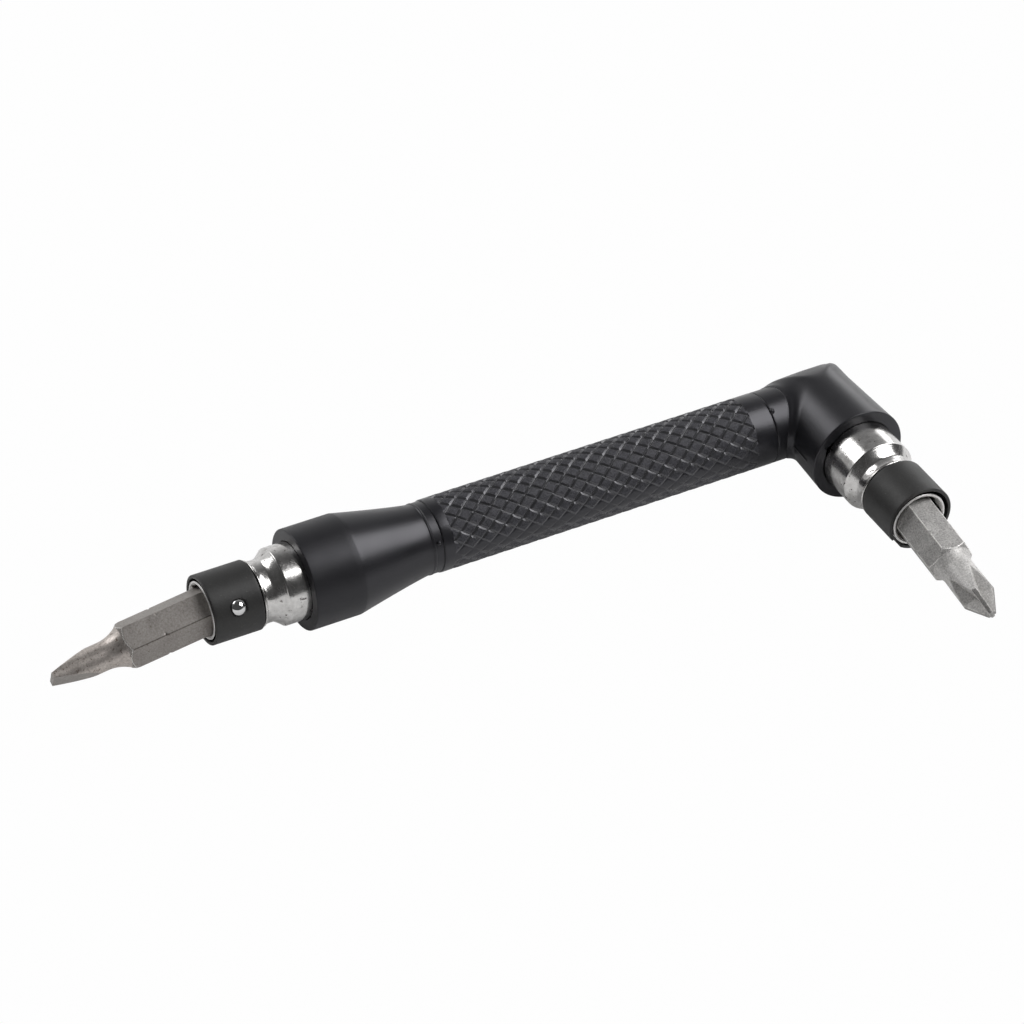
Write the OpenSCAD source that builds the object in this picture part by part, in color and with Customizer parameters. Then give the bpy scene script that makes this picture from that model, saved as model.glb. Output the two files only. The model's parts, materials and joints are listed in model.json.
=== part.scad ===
// Offset screwdriver: a knurled handle with one bit socket in line with it and
// one at right angles, each holding a quarter-inch insert bit.
// The tool lies flat: the handle runs along X, the side head points along -Y.

/* [Collar] */
// Diameter of the collar
collar_d = 15.2; // [14:0.1:18]
// Length of the collar's cylindrical front
collar_straight = 7.8; // [6:0.1:12]
// Length of the collar's taper down to its neck
collar_taper = 11.8; // [8:0.1:16]
// Diameter of the neck behind the taper
neck_d = 10.7; // [10:0.1:11.5]
// Length of the neck behind the taper
neck_len = 1.8; // [1:0.1:4]
// Radius on the collar's front edge
collar_round = 0.5; // [0.2:0.1:0.8]

/* [Grip] */
// Length of the grip sleeve
grip_len = 55.4; // [40:0.1:80]
// Diameter over the smooth bands and strips of the grip
grip_d = 11; // [10.8:0.1:13]
// Length of the smooth band at each end of the grip
grip_band = 2.4; // [1:0.1:6]
// Depth of the grooves between the diamonds
knurl_depth = 0.28; // [0.1:0.01:0.4]
// Height of the diamonds above the smooth bands
knurl_rise = 0.09; // [0.02:0.01:0.15]
// Length of one diamond along the handle
knurl_pitch = 2.76; // [2:0.02:4]
// Diamonds around the whole circumference
knurl_count = 16; // [12:1:20]
// Rows of diamonds on the top of the grip
top_rows = 14; // [8:2:14]
// Rows of diamonds on the underside of the grip
under_rows = 10; // [6:2:12]

/* [Elbow] */
// Distance from the grip to the side head's axis
elbow_reach = 9.6; // [9.5:0.1:14]
// Diameter of the elbow's neck
elbow_neck_d = 11; // [10.8:0.1:12]
// Diameter of the elbow across its rounded back
elbow_back_d = 12.5; // [12:0.1:13.4]
// Barrel diameter where it meets the handle axis
barrel_root_d = 14.2; // [13.5:0.1:14.6]
// Barrel diameter at its front face
barrel_front_d = 15.2; // [14.8:0.1:17]
// Distance from the handle axis to the barrel's front face
barrel_len = 12.2; // [11:0.1:16]

/* [Core rod] */
// Diameter of the rod that ties collar, grip and elbow together
core_d = 5.6; // [4.5:0.1:6]
// Distance across the two flats on the rod
core_flats = 4.8; // [4:0.1:5]
// Depth that the rod reaches into the collar
core_in_collar = 10.5; // [7:0.1:12]
// Distance that the rod runs past the side head's axis
core_past_axis = 2; // [0:0.1:3.5]

/* [Sockets] */
// Length of each socket from its buried end to its mouth
socket_len = 22.6; // [20:0.1:26]
// Diameter of the socket's body
socket_d = 11.6; // [11.2:0.1:12.2]
// Distance across the two flats on the buried end
socket_flats = 10; // [9:0.1:10.6]
// Length of those flats
socket_flats_len = 4.5; // [3:0.1:5]
// Depth of the front socket in the collar
front_seat = 8; // [6:0.1:10]
// Depth of the side socket in the barrel
side_seat = 5.5; // [5.2:0.1:6.5]
// Distance from the mouth back to the waist's sharp edge
waist_from_mouth = 11.2; // [10.6:0.1:12]
// Diameter at the bottom of the waist
waist_d = 9.3; // [9:0.1:9.8]
// Diameter of the nose under the spring ring
nose_d = 8.7; // [8.6:0.05:8.9]
// Depth of the hexagonal bore
bore_depth = 14; // [10:0.1:15]
// Play of the bit across the flats of the bore
hex_slack = 0.55; // [0.4:0.05:0.6]

/* [Spring rings and balls] */
// Outside diameter of the spring ring
ring_d = 10.44; // [10.3:0.02:10.8]
// Wall of the spring ring
ring_wall = 0.5; // [0.4:0.02:0.55]
// Length of the spring ring
ring_len = 7.6; // [7:0.1:8]
// Width of the split in the spring ring
ring_split = 1.3; // [0.6:0.1:2]
// Diameter of the detent ball
ball_d = 2.5; // [2.3:0.05:2.6]
// Distance from the mouth back to the ball
ball_from_mouth = 3.8; // [3.8:0.1:4.8]
// How far the free ball stands into the bore's corner
ball_intrude = 0.5; // [0.4:0.05:0.6]

/* [Bits] */
// Size of the bits' hexagon across its flats
hex_af = 6.35; // [6.3:0.01:6.4]
// Length of the hexagonal shank
shank_len = 15.5; // [13:0.1:18]
// Length of the slotted bit in its socket
front_engaged = 3.25; // [2.8:0.05:3.4]
// Length of the cross-point bit in its socket
side_engaged = 5.7; // [5.2:0.1:8]
// Distance from the slotted bit's shoulder to the notches in its corners
slot_notch = 5.6; // [4:0.1:7]
// Distance from the cross-point bit's shoulder to the notches in its corners
cross_notch = 4.2; // [4:0.1:7]
// Length of the slotted tip
slot_tip_len = 11.1; // [9:0.1:14]
// Width of the slotted blade
slot_width = 4.2; // [3.5:0.1:5]
// Thickness of the slotted blade at its end
slot_thick = 0.8; // [0.6:0.1:1.2]
// Length of the slotted blade's two ground flats
slot_flat_len = 6.3; // [5:0.1:7]
// Length of the cross-point tip
cross_tip_len = 11.6; // [9:0.1:13]
// Diameter over the wings of the cross point
cross_d = 5.1; // [4.6:0.1:5.6]
// Length of the cross point's tapered end
cross_point_len = 3.8; // [3:0.1:4]
// Diameter at the very end of the cross point
cross_end_d = 1.3; // [1:0.1:1.6]

/* [Hidden] */
$fn = 96;

// Clearance of glued and pressed fits, of sliding fits, and the overrun of every cut
press_gap = 0.02;
slide_gap = 0.05;
over = 0.5;

// Turn of each head about its own axis: the angle of its ball and bore corner
front_turn = -61.5;
side_turn = -1.5;
// Angle from the ball to the split of the spring ring
split_turn = -165;
// Share of the free play between corners that a bit uses when it hangs in its socket,
// and the corner of the side head that its bit hangs towards
droop_share = 0.75;
side_hang_turn = side_turn + 240;

// Small edges of the moulded pieces
seam_chamfer = 0.25;
elbow_flare_len = 3.2;
barrel_round = 0.5;
pip_r = 0.32;
strip_drop = 0.06;
pip_1_angle = 62.6;
pip_2_angle = 28;

// Small edges of the sockets
bead_len = 0.5;
bead_rise = 0.55;
bead_d = nose_d + 2 * bead_rise;
mouth_depth = 0.6;
mouth_round = 0.15;
waist_share = 0.7;

// Small edges of the bits
shank_chamfer = 0.7;
notch_depth = 0.3;
notch_half = 0.55;
slot_curve = 3.2;
cross_curve = 2;
cross_neck_drop = 0.1;
cross_neck_d = cross_d - 2 * cross_neck_drop;
flute_root_r = 0.5;
flute_start = 3.1;
flute_end_slope = 3;
slot_blade_turn = -66;
cross_wing_turn = 29.5;

// Places along the handle, measured from the side head's axis
grip_rear_x = -elbow_reach;
grip_front_x = grip_rear_x - grip_len;
neck_x = grip_front_x - neck_len;
taper_x = neck_x - collar_taper;
collar_x = taper_x - collar_straight;
front_socket_x = collar_x + front_seat;
side_socket_y = -(barrel_len - side_seat);
core_front_x = grip_front_x - core_in_collar;

// Sizes of the bore, the hexagon's corners and the ball's place
bore_af = hex_af + hex_slack;
bore_r = bore_af / sqrt(3);
hex_r = hex_af / sqrt(3);
ball_r = ball_d / 2;
ball_z = socket_len - ball_from_mouth;
ball_down = bore_r - ball_intrude + ball_r;
ball_lift = hex_r + slide_gap + ball_r - ball_down;

// Angles at which the bits hang in the loose bores
corner_slack = bore_r - hex_r;
front_droop = atan(2 * corner_slack / front_engaged) * droop_share;
side_droop = atan(2 * corner_slack / side_engaged) * droop_share;

// The origin is under the middle of the whole tool
front_tip_x = front_socket_x - socket_len + front_engaged / 2
            - (shank_len + slot_tip_len - front_engaged / 2) * cos(front_droop);
side_tip_y = side_socket_y - socket_len + side_engaged / 2
           - (shank_len + cross_tip_len - side_engaged / 2) * cos(side_droop);
blade_angle = front_turn + slot_blade_turn;
blade_up = slot_width / 2 * abs(sin(blade_angle)) + slot_thick / 2 * abs(cos(blade_angle));
x_low = front_tip_x - blade_up * sin(front_droop);
x_high = barrel_front_d / 2;
y_low = side_tip_y - cross_end_d / 2 * sin(side_droop);
y_high = collar_d / 2;
axis_z = max(collar_d, barrel_front_d) / 2;

module tool_frame() {
    translate([-(x_low + x_high) / 2, -(y_low + y_high) / 2, axis_z]) children();
}

// A head's own frame: Z runs out of the mouth, zero at the socket's buried end
module front_head() {
    tool_frame() translate([front_socket_x, 0, 0]) rotate([0, -90, 0]) children();
}
module side_head() {
    tool_frame() translate([0, side_socket_y, 0]) rotate([90, 0, 0]) children();
}

// Points of an arc, in degrees, from one angle to the other
function arc(cx, cy, r, from, to, steps) =
    [for (i = [0 : steps]) let (a = from + (to - from) * i / steps) [cx + r * cos(a), cy + r * sin(a)]];

// A solid turned about the handle axis, from points of [x, radius]
module turned_x(points) {
    rotate([0, 90, 0]) rotate_extrude() polygon([for (p = points) [p[1], p[0]]]);
}

// A round bar with two flats, along Z
module flatted_bar(d, flats, len) {
    intersection() {
        cylinder(d = d, h = len);
        translate([-d, -flats / 2, 0]) cube([2 * d, flats, len]);
    }
}

module core_blank(gap) {
    translate([core_front_x - gap, 0, 0]) rotate([0, 90, 0])
        flatted_bar(core_d + 2 * gap, core_flats + 2 * gap, core_past_axis - core_front_x + 2 * gap);
}

// The two lands beside the flats of a socket's buried end
module flat_lands(gap, len) {
    for (side = [0, 1]) rotate(180 * side)
        translate([-socket_d, socket_flats / 2 + gap, -over]) cube([2 * socket_d, socket_d, len + over]);
}

// The pocket that takes a socket's buried end, in the head's frame
module socket_pocket(seat) {
    difference() {
        translate([0, 0, -press_gap]) cylinder(d = socket_d + 2 * press_gap, h = seat + press_gap + over);
        flat_lands(press_gap, socket_flats_len - press_gap);
    }
}

// Small moulded pip on a seam
module pip(x, d, angle) {
    translate([x, 0, 0]) rotate([angle, 0, 0]) translate([0, 0, d / 2]) sphere(r = pip_r);
}

module front_collar() color("#232326") difference() {
    tool_frame() {
        turned_x(concat(
            [[collar_x, 0]],
            arc(collar_x + collar_round, collar_d / 2 - collar_round, collar_round, 180, 90, 6),
            [[taper_x, collar_d / 2], [neck_x, neck_d / 2],
             [grip_front_x - seam_chamfer, neck_d / 2], [grip_front_x, neck_d / 2 - seam_chamfer],
             [grip_front_x, 0]]));
        pip(grip_front_x - seam_chamfer - pip_r, neck_d - pip_r, pip_1_angle);
    }
    front_head() rotate(front_turn) socket_pocket(front_seat);
    tool_frame() core_blank(press_gap);
}

// Radius of the knurled skin at a step along the handle and a step round it
half_turn_steps = knurl_count;
function in_rows(row, rows) = abs(row) <= rows / 2 - 1 / 2;
function on_pad(j) =
    let (top = j - half_turn_steps / 2 + 1 / 2, under = j - half_turn_steps * 3 / 2 + 1 / 2)
    in_rows(top, top_rows) || in_rows(under, under_rows);
function pad_r(i, j, last) =
    i == 0 || i == last ? grip_d / 2 - knurl_depth
    : (i + j) % 2 == 0 && on_pad(j) ? grip_d / 2 + knurl_rise
    : (i + j) % 2 == 1 && (on_pad(j - 1) || on_pad(j) || on_pad(j + 1)) ? grip_d / 2 - knurl_depth
    : grip_d / 2 - strip_drop;

// The diamonds: one pyramid to a lattice cell, split along its grooves
module knurled_skin(from, len) {
    cols = 2 * floor((len - 2 * grip_band) / knurl_pitch);
    step = knurl_pitch / 2;
    rows = 2 * knurl_count;
    start = from + (len - cols * step) / 2;
    points = [for (i = [0 : cols]) for (j = [0 : rows - 1])
        let (a = 180 / knurl_count * (j - half_turn_steps / 2 + 1 / 2), r = pad_r(i, j, cols))
        [start + i * step, r * sin(a), r * cos(a)]];
    function at(i, j) = i * rows + (j % rows);
    skin = [for (i = [0 : cols - 1]) for (j = [0 : rows - 1])
        each (i + j) % 2 == 0
            ? [[at(i, j), at(i, j + 1), at(i + 1, j)], [at(i + 1, j + 1), at(i + 1, j), at(i, j + 1)]]
            : [[at(i, j), at(i, j + 1), at(i + 1, j + 1)], [at(i, j), at(i + 1, j + 1), at(i + 1, j)]]];
    caps = [[for (j = [rows - 1 : -1 : 0]) at(0, j)], [for (j = [0 : rows - 1]) at(cols, j)]];
    polyhedron(points = points, faces = concat(skin, caps));
}

module grip_sleeve() color("#1f1f22") tool_frame() difference() {
    union() {
        knurled_skin(grip_front_x, grip_len);
        for (end = [0, 1]) mirror([end, 0, 0])
            turned_x([[end ? -grip_rear_x : grip_front_x, 0],
                      [end ? -grip_rear_x : grip_front_x, grip_d / 2 - seam_chamfer],
                      [(end ? -grip_rear_x : grip_front_x) + seam_chamfer, grip_d / 2],
                      [(end ? -grip_rear_x : grip_front_x) + grip_band + knurl_pitch / 2, grip_d / 2],
                      [(end ? -grip_rear_x : grip_front_x) + grip_band + knurl_pitch / 2, 0]]);
    }
    core_blank(press_gap);
}

module elbow_head() color("#232326") difference() {
    tool_frame() {
        // neck and rounded back, along the handle
        intersection() {
            turned_x([[grip_rear_x, 0], [grip_rear_x, elbow_neck_d / 2 - seam_chamfer],
                      [grip_rear_x + seam_chamfer, elbow_neck_d / 2],
                      [-barrel_root_d / 2 - elbow_flare_len / 2, elbow_neck_d / 2],
                      [-barrel_root_d / 2 + elbow_flare_len / 2, elbow_back_d / 2],
                      [barrel_root_d, elbow_back_d / 2], [barrel_root_d, 0]]);
            union() {
                rotate([-90, 0, 0]) translate([0, 0, -over])
                    cylinder(d = barrel_root_d - 2 * press_gap, h = elbow_back_d + over);
                translate([-elbow_reach - over, -elbow_back_d, -elbow_back_d])
                    cube([elbow_reach + over, 2 * elbow_back_d, 2 * elbow_back_d]);
            }
        }
        // barrel, towards the side head
        rotate([90, 0, 0]) rotate_extrude() polygon(concat(
            [[0, 0], [barrel_root_d / 2, 0]],
            arc(barrel_front_d / 2 - barrel_round, barrel_len - barrel_round, barrel_round, 0, 90, 6),
            [[0, barrel_len]]));
        pip(grip_rear_x + seam_chamfer, elbow_neck_d - pip_r, pip_2_angle);
    }
    side_head() rotate(side_turn) socket_pocket(side_seat);
    tool_frame() core_blank(press_gap);
}

module core_rod() color("#8d9094") tool_frame() core_blank(0);

// Waist between the body's sharp edge and the bead behind the spring ring
waist_z = socket_len - waist_from_mouth;
bead_z = socket_len - ring_len - slide_gap - bead_len;
waist_low_z = waist_z + (bead_z - waist_z) * waist_share;
function waist_r(z) = z < waist_low_z
    ? waist_d / 2 + (socket_d - waist_d) / 2 * pow((waist_low_z - z) / (waist_low_z - waist_z), 2)
    : waist_d / 2 + (bead_d - waist_d) / 2 * pow((z - waist_low_z) / (bead_z - waist_low_z), 2);

module socket() color("#c9cbce") difference() {
    rotate_extrude() polygon(concat(
        [[0, 0], [socket_d / 2, 0]],
        [for (i = [0 : 12]) let (z = waist_z + (bead_z - waist_z) * i / 12) [waist_r(z), z]],
        [[bead_d / 2, bead_z + bead_len], [nose_d / 2, bead_z + bead_len],
         [nose_d / 2, socket_len - mouth_round], [nose_d / 2 - mouth_round, socket_len], [0, socket_len]]));
    translate([0, 0, socket_len - bore_depth]) cylinder(r = bore_r, h = bore_depth + over, $fn = 6);
    translate([0, 0, socket_len - mouth_depth])
        cylinder(r1 = bore_af / 2, r2 = bore_r + slide_gap, h = mouth_depth);
    translate([0, 0, ball_z]) rotate([0, 90, 0]) cylinder(r = ball_r + slide_gap, h = socket_d);
    flat_lands(0, socket_flats_len);
}

module front_socket() front_head() rotate(front_turn) socket();
module side_socket() side_head() rotate(side_turn) socket();

// Split spring ring with the seat that keeps the ball, shifted by the ball's lift
module spring_ring(lift) color("#2a2a2c") translate([lift, 0, socket_len - ring_len]) difference() {
    rotate(split_turn) difference() {
        cylinder(d = ring_d, h = ring_len - slide_gap);
        translate([0, 0, -over]) cylinder(d = ring_d - 2 * ring_wall, h = ring_len + 2 * over);
        translate([0, -ring_split / 2, -over]) cube([ring_d, ring_split, ring_len + 2 * over]);
    }
    translate([ball_down, 0, ring_len - ball_from_mouth]) rotate([0, 90, 0]) sphere(r = ball_r + press_gap);
}
module ball(lift) color("#d8dadd") translate([ball_down + lift, 0, ball_z]) sphere(r = ball_r);

module front_spring_ring() front_head() rotate(front_turn) spring_ring(0);
module side_spring_ring() side_head() rotate(side_turn) spring_ring(ball_lift);
module front_ball() front_head() rotate(front_turn) ball(0);
module side_ball() side_head() rotate(side_turn) ball(ball_lift);

// Hexagonal shank with notched corners, cut by a turned outline of [radius, z] points above it
module bit_body(tip_outline, notch) {
    difference() {
        intersection() {
            cylinder(r = hex_r, h = shank_len + max(slot_tip_len, cross_tip_len) + over, $fn = 6);
            rotate_extrude() polygon(concat(
                [[0, 0], [hex_r - shank_chamfer, 0], [hex_r + slide_gap, shank_chamfer + slide_gap]],
                [[hex_r + slide_gap, shank_len - shank_chamfer]], tip_outline));
        }
        translate([0, 0, shank_len - notch]) rotate_extrude()
            polygon([[hex_r + over, -notch_half], [hex_r - notch_depth, 0], [hex_r + over, notch_half]]);
    }
}

// Hollow curve from the shank's shoulder down to a neck, of [radius, z] points
function shoulder(neck_r, len) = [for (i = [0 : 8]) let (t = i / 8)
    [neck_r + (hex_af / 2 - neck_r) * pow(1 - t, 2), shank_len + len * t]];

module slotted_tip() difference() {
    bit_body(concat(shoulder(slot_width / 2, slot_curve),
        [[slot_width / 2, shank_len + slot_tip_len], [0, shank_len + slot_tip_len]]), slot_notch);
    // two ground flats that leave the blade
    rotate(slot_blade_turn) for (side = [0, 1]) rotate(180 * side)
        translate([slot_thick / 2, -slot_width, shank_len + slot_tip_len])
            rotate([0, -atan((slot_width - slot_thick) / 2 / slot_flat_len), 0])
                translate([0, 0, -2 * slot_flat_len]) cube([slot_width, 2 * slot_width, 3 * slot_flat_len]);
}

module cross_tip() difference() {
    point_z = shank_len + cross_tip_len - cross_point_len;
    end_z = shank_len + cross_tip_len;
    flute_slope = atan((cross_d / 2 - flute_root_r) / (point_z - shank_len - flute_start));
    bit_body(concat(shoulder(cross_neck_d / 2, cross_curve),
        [[cross_d / 2, point_z], [cross_end_d / 2, end_z], [0, end_z]]), cross_notch);
    // four V flutes between the wings: each root runs down the shank, then along the point
    for (q = [0 : 3]) rotate(cross_wing_turn + 90 * q + 45)
        translate([flute_root_r, 0, point_z]) intersection() {
            flute_cut(flute_slope);
            flute_cut(flute_end_slope);
        }
}

// Square bar with one edge along the flute's root, which leans out towards the shank
module flute_cut(slope) {
    rotate([0, -slope, 0]) rotate(-45)
        translate([0, 0, -2 * cross_tip_len]) cube([cross_d, cross_d, 4 * cross_tip_len]);
}

module slotted_bit() color("#8b8884") front_head()
    translate([0, 0, socket_len - front_engaged / 2]) rotate([0, -front_droop, 0])
        translate([0, 0, -front_engaged / 2]) rotate(front_turn) slotted_tip();

module cross_bit() color("#96938f") side_head()
    translate([0, 0, socket_len - side_engaged / 2]) rotate(side_hang_turn) rotate([0, side_droop, 0])
        translate([0, 0, -side_engaged / 2]) rotate(side_turn - side_hang_turn) cross_tip();

front_collar();
grip_sleeve();
elbow_head();
core_rod();
front_socket();
side_socket();
front_spring_ring();
side_spring_ring();
front_ball();
side_ball();
slotted_bit();
cross_bit();
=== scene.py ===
import json
import math

import bmesh
import bpy
import numpy as np
from mathutils import Matrix, Vector


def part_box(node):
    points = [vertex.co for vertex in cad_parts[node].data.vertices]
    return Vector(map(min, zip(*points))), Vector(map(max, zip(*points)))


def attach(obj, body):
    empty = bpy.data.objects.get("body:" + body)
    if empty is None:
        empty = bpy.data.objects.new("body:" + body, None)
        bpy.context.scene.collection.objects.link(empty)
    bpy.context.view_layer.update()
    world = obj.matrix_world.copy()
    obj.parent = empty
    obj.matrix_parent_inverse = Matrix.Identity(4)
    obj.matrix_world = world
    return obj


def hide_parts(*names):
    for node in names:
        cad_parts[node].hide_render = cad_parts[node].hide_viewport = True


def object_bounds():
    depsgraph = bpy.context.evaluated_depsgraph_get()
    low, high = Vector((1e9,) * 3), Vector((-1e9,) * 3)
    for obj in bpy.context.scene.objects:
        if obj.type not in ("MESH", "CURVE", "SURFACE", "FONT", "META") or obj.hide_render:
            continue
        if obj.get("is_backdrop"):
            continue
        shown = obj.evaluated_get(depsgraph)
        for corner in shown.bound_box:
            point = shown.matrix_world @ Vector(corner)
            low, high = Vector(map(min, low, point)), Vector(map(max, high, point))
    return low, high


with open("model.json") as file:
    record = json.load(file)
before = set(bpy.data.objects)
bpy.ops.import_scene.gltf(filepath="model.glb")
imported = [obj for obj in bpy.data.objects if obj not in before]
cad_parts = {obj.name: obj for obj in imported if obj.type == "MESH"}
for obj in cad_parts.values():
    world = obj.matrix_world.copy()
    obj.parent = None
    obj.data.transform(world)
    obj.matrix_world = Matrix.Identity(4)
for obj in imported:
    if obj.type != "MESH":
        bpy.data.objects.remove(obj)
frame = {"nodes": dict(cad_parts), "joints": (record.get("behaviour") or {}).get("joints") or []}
cad_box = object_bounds()

# Core rod
# A drawn steel bar with two flats, pressed through the three mouldings to keep them in line.
# Nothing of it shows, so its solid stays as it is and only takes a drawn-steel finish.

fleck_edge = 14.0


def add_node(tree, kind, inputs=None, **settings):
    """A node with its settings, and with constants on its own sockets."""
    node = tree.nodes.new(kind)
    for name, value in settings.items():
        setattr(node, name, value)
    for name, value in (inputs or {}).items():
        node.inputs[name].default_value = value
    return node


def wire(tree, *links):
    """Links nodes, each link given as a node and its output, then a node and its input."""
    for source, output, target, entry in links:
        tree.links.new(source.outputs[output], target.inputs[entry])


def new_group(name, inputs, outputs):
    """An empty shader group with named float sockets, and its input and output nodes."""
    tree = bpy.data.node_groups.new(name, "ShaderNodeTree")
    for label, value in inputs.items():
        socket = tree.interface.new_socket(label, in_out="INPUT", socket_type="NodeSocketFloat")
        socket.default_value = value
    for label in outputs:
        tree.interface.new_socket(label, in_out="OUTPUT", socket_type="NodeSocketFloat")
    return tree, tree.nodes.new("NodeGroupInput"), tree.nodes.new("NodeGroupOutput")


def make_grain_group():
    """Fine even grain in Height, and slow cloudy change in Tone. Scales are in cells per metre."""
    tree, given, result = new_group(
        "grain", {"Grain Scale": 6000.0, "Cloud Scale": 150.0}, ("Height", "Tone"))
    place = add_node(tree, "ShaderNodeTexCoord")
    for label, scale, detail in (("Height", "Grain Scale", 3.0), ("Tone", "Cloud Scale", 4.0)):
        noise = add_node(tree, "ShaderNodeTexNoise", {"Detail": detail, "Roughness": 0.6})
        wire(tree, (place, "Object", noise, "Vector"), (given, scale, noise, "Scale"),
             (noise, "Fac", result, label))
    return tree


def make_fleck_group():
    """Sparse marks: 1 inside a mark and 0 outside it. A higher threshold gives fewer, smaller marks."""
    tree, given, result = new_group(
        "flecks", {"Scale": 900.0, "Threshold": 0.7, "Stretch": 1.0}, ("Mask",))
    place = add_node(tree, "ShaderNodeTexCoord")
    stretch = add_node(tree, "ShaderNodeVectorMath", operation="MULTIPLY")
    along = add_node(tree, "ShaderNodeCombineXYZ", {"Y": 1.0, "Z": 1.0})
    noise = add_node(tree, "ShaderNodeTexNoise", {"Detail": 5.0, "Roughness": 0.65})
    above = add_node(tree, "ShaderNodeMath", operation="SUBTRACT")
    edge = add_node(tree, "ShaderNodeMath", {1: fleck_edge}, operation="MULTIPLY", use_clamp=True)
    wire(tree,
         (given, "Stretch", along, "X"),
         (place, "Object", stretch, 0),
         (along, "Vector", stretch, 1),
         (stretch, "Vector", noise, "Vector"),
         (given, "Scale", noise, "Scale"),
         (noise, "Fac", above, 0),
         (given, "Threshold", above, 1),
         (above, "Value", edge, 0),
         (edge, "Value", result, "Mask"))
    return tree


grain_group = make_grain_group()
fleck_group = make_fleck_group()


def grained_finish(name, dark, light, mark, rough, mark_rough, grain, flecks, bump,
                   metallic=0.0, gloss=0.5, speckle=0.0, sheen_tint=(1.0, 1.0, 1.0)):
    """A finish whose colour clouds from dark to light, with flecks of a mark colour and a fine grain.

    Grain is the scale of the grain and of the clouds, and flecks is the scale, the threshold and the
    stretch of the flecks. Bump is its strength and its depth. Speckle is how far the grain itself
    shows in the colour.
    """
    material = bpy.data.materials.new(name)
    material.use_nodes = True
    tree = material.node_tree
    shader = tree.nodes["Principled BSDF"]
    shader.inputs["Metallic"].default_value = metallic
    shader.inputs["Specular IOR Level"].default_value = gloss
    shader.inputs["Specular Tint"].default_value = (*sheen_tint, 1)
    skin = add_node(tree, "ShaderNodeGroup", node_tree=grain_group)
    spots = add_node(tree, "ShaderNodeGroup", node_tree=fleck_group)
    for group, labels, values in ((skin, ("Grain Scale", "Cloud Scale"), grain),
                                  (spots, ("Scale", "Threshold", "Stretch"), flecks)):
        for label, value in zip(labels, values):
            group.inputs[label].default_value = value
    cloud = add_node(tree, "ShaderNodeMix", {"A": (*dark, 1), "B": (*light, 1)}, data_type="RGBA")
    spot = add_node(tree, "ShaderNodeMix", {"B": (*mark, 1)}, data_type="RGBA")
    noise_range = {"From Min": 0.3, "From Max": 0.7}
    span = add_node(tree, "ShaderNodeMapRange", {**noise_range, "To Min": rough[0], "To Max": rough[1]})
    dull = add_node(tree, "ShaderNodeMix", {"B": mark_rough}, data_type="FLOAT")
    relief = add_node(tree, "ShaderNodeBump", {"Strength": bump[0], "Distance": bump[1]})
    grit = add_node(tree, "ShaderNodeMapRange", {**noise_range, "To Min": -speckle, "To Max": speckle})
    mottle = add_node(tree, "ShaderNodeMath", operation="ADD", use_clamp=True)
    wire(tree,
         (skin, "Height", grit, "Value"),
         (grit, "Result", mottle, 0),
         (skin, "Tone", mottle, 1),
         (mottle, "Value", cloud, "Factor"),
         (cloud, "Result", spot, "A"),
         (spots, "Mask", spot, "Factor"),
         (spot, "Result", shader, "Base Color"),
         (skin, "Tone", span, "Value"),
         (span, "Result", dull, "A"),
         (spots, "Mask", dull, "Factor"),
         (dull, "Result", shader, "Roughness"),
         (skin, "Height", relief, "Height"),
         (relief, "Normal", shader, "Normal"))
    return material


drawn_steel = grained_finish(
    "drawn steel", dark=(0.22, 0.22, 0.23), light=(0.34, 0.34, 0.35), mark=(0.12, 0.11, 0.10),
    rough=(0.32, 0.45), mark_rough=0.6, grain=(5000, 200), flecks=(700, 0.66, 0.1), bump=(0.1, 0.00002),
    metallic=1.0)
core_rod = frame["nodes"]["core_rod"]
core_rod.data.materials.clear()
core_rod.data.materials.append(drawn_steel)

# Grip sleeve
# A black moulded sleeve on the rod, with a smooth band at each end. Between them cut grooves leave
# raised diamonds on its top and its underside, and grow faint down each side, where the mould parts.

# Sizes are in millimetres from here on, and the frame is in metres.
MM = 0.001
rod_axis = sum(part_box("core_rod"), Vector()) / 2
side_axis = sum(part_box("side_socket"), Vector()) / 2
elbow_centre = np.array((side_axis.x, rod_axis.y, rod_axis.z)) / MM

core_bore_r = 2.82
grip_face_r = 5.36
grip_r = 5.5
seam_chamfer = 0.10
diamond_len = 2.795
diamonds_around = 16
knurl_from_face = 1.67
knurl_lengths = 18
lattice_corner = 22.6
lattice_turn = math.radians(-32.7)
groove_depth = 0.21
groove_cut = ((0.0, -groove_depth), (0.03, -groove_depth + 0.01), (0.27, -0.03), (0.33, 0.0))
pad_crown = 0.035
crown_from = 0.3
pad_middle = (0.79, 1.21)
seam_ease = 0.02
knurl_margin = 0.06
weld = 2e4
fade_from = math.radians(60)
fade_to = math.radians(98)
faint = 0.05
pad_share = 0.5


def about_handle(x, r, turn):
    """Points at x from the side head's axis and at radius r. Turn 0 is up, and + is towards +Y."""
    x, r, turn = np.broadcast_arrays(x, r, turn)
    return (elbow_centre + np.stack((x, r * np.sin(turn), r * np.cos(turn)), -1)) * MM


def lofted(name, rings, loop=False, sharp=35):
    """A closed skin over rings of points. It joins back to its first ring, or has a fan at each end."""
    count, around = rings.shape[:2]
    points = rings.reshape(-1, 3)
    first = np.arange(count if loop else count - 1)[:, None]
    side = np.arange(around)[None, :]
    corner = lambda i, j: (i % count) * around + j % around
    quads = np.stack((corner(first, side), corner(first, side + 1),
                      corner(first + 1, side + 1), corner(first + 1, side)), -1).reshape(-1, 4)
    faces = quads.tolist()
    if not loop:
        ends = np.stack((rings[0].mean(0), rings[-1].mean(0)))
        points = np.concatenate((points, ends))
        low, high, last = len(points) - 2, len(points) - 1, (count - 1) * around
        faces += [(j, low, (j + 1) % around) for j in range(around)]
        faces += [(last + (j + 1) % around, high, last + j) for j in range(around)]
    mesh = bpy.data.meshes.new(name)
    mesh.from_pydata(points.tolist(), [], faces)
    return smooth_piece(name, mesh, sharp)


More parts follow.
